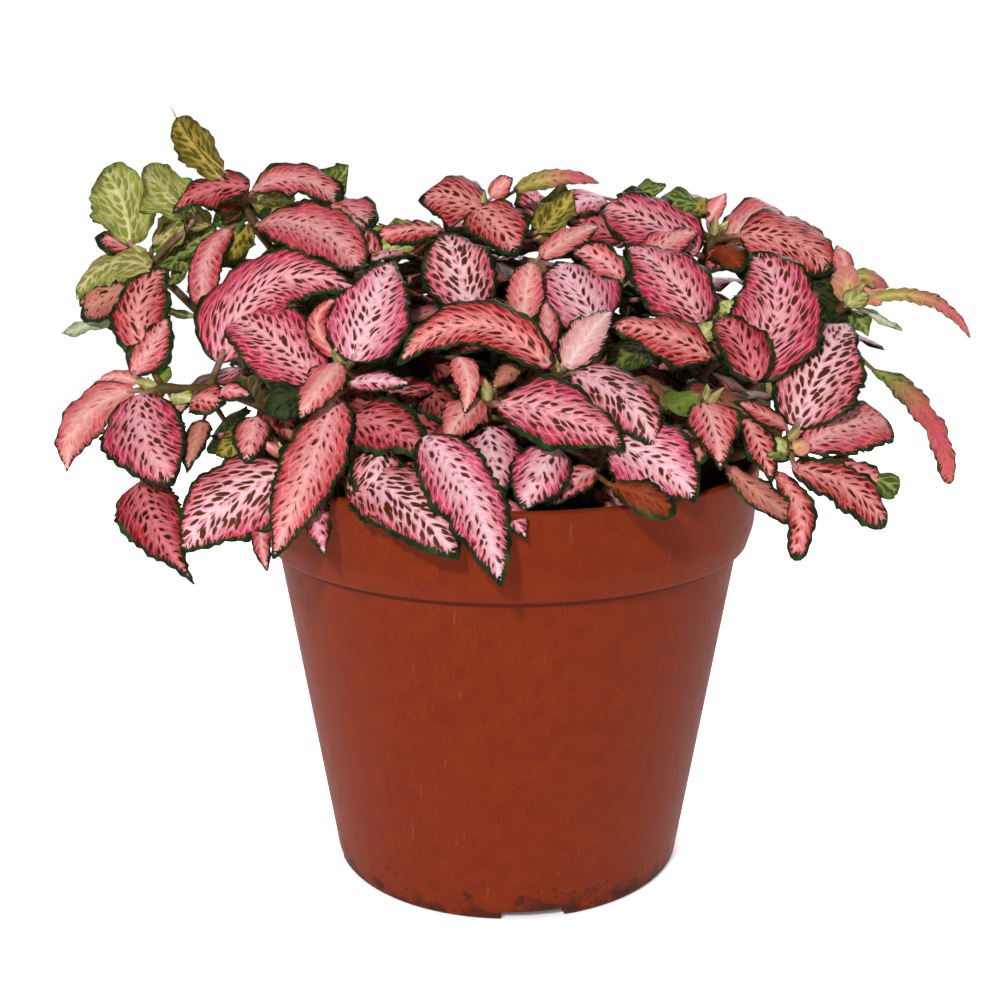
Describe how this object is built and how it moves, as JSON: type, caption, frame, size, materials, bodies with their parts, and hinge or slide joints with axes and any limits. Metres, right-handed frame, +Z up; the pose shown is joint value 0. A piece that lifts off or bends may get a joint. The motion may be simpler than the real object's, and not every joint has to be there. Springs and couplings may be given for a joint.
{
  "type": "potted nerve plant",
  "caption": "Bushy nerve plant with pink, green-netted leaves in a tapered terracotta-coloured nursery pot, standing on its own foot ring.",
  "frame": {"origin": "middle of the whole plant's footprint, at the level that the pot stands on", "axes": "+Z up, +X to the right of the pictured view, which looks along +Y"},
  "size_m": [0.219, 0.1666, 0.1794],
  "materials": {
    "pot_plastic": "satin injection-moulded plastic",
    "peat": "damp peat, rough",
    "foliage": "soft satin leaf"
  },
  "bodies": {
    "root": {"pot": "pot_plastic", "soil": "peat", "stem_front_left": "foliage", "stem_front_low_left": "foliage", "stem_front_middle": "foliage", "stem_front_centre": "foliage", "stem_upper_middle": "foliage", "stem_top_centre": "foliage", "stem_centre_right": "foliage", "stem_right_centre": "foliage", "stem_back_right": "foliage", "stem_right_upper": "foliage", "stem_right_low": "foliage", "stem_front_right": "foliage", "stem_front_low_right": "foliage", "stem_back_left": "foliage", "stem_left_upper": "foliage", "stem_left": "foliage", "stem_far_right": "foliage", "stem_rear_right": "foliage", "stem_rear": "foliage", "stem_rear_left": "foliage", "stem_far_left": "foliage", "stem_inner_right": "foliage", "stem_inner_left": "foliage"}
  },
  "joints": []
}
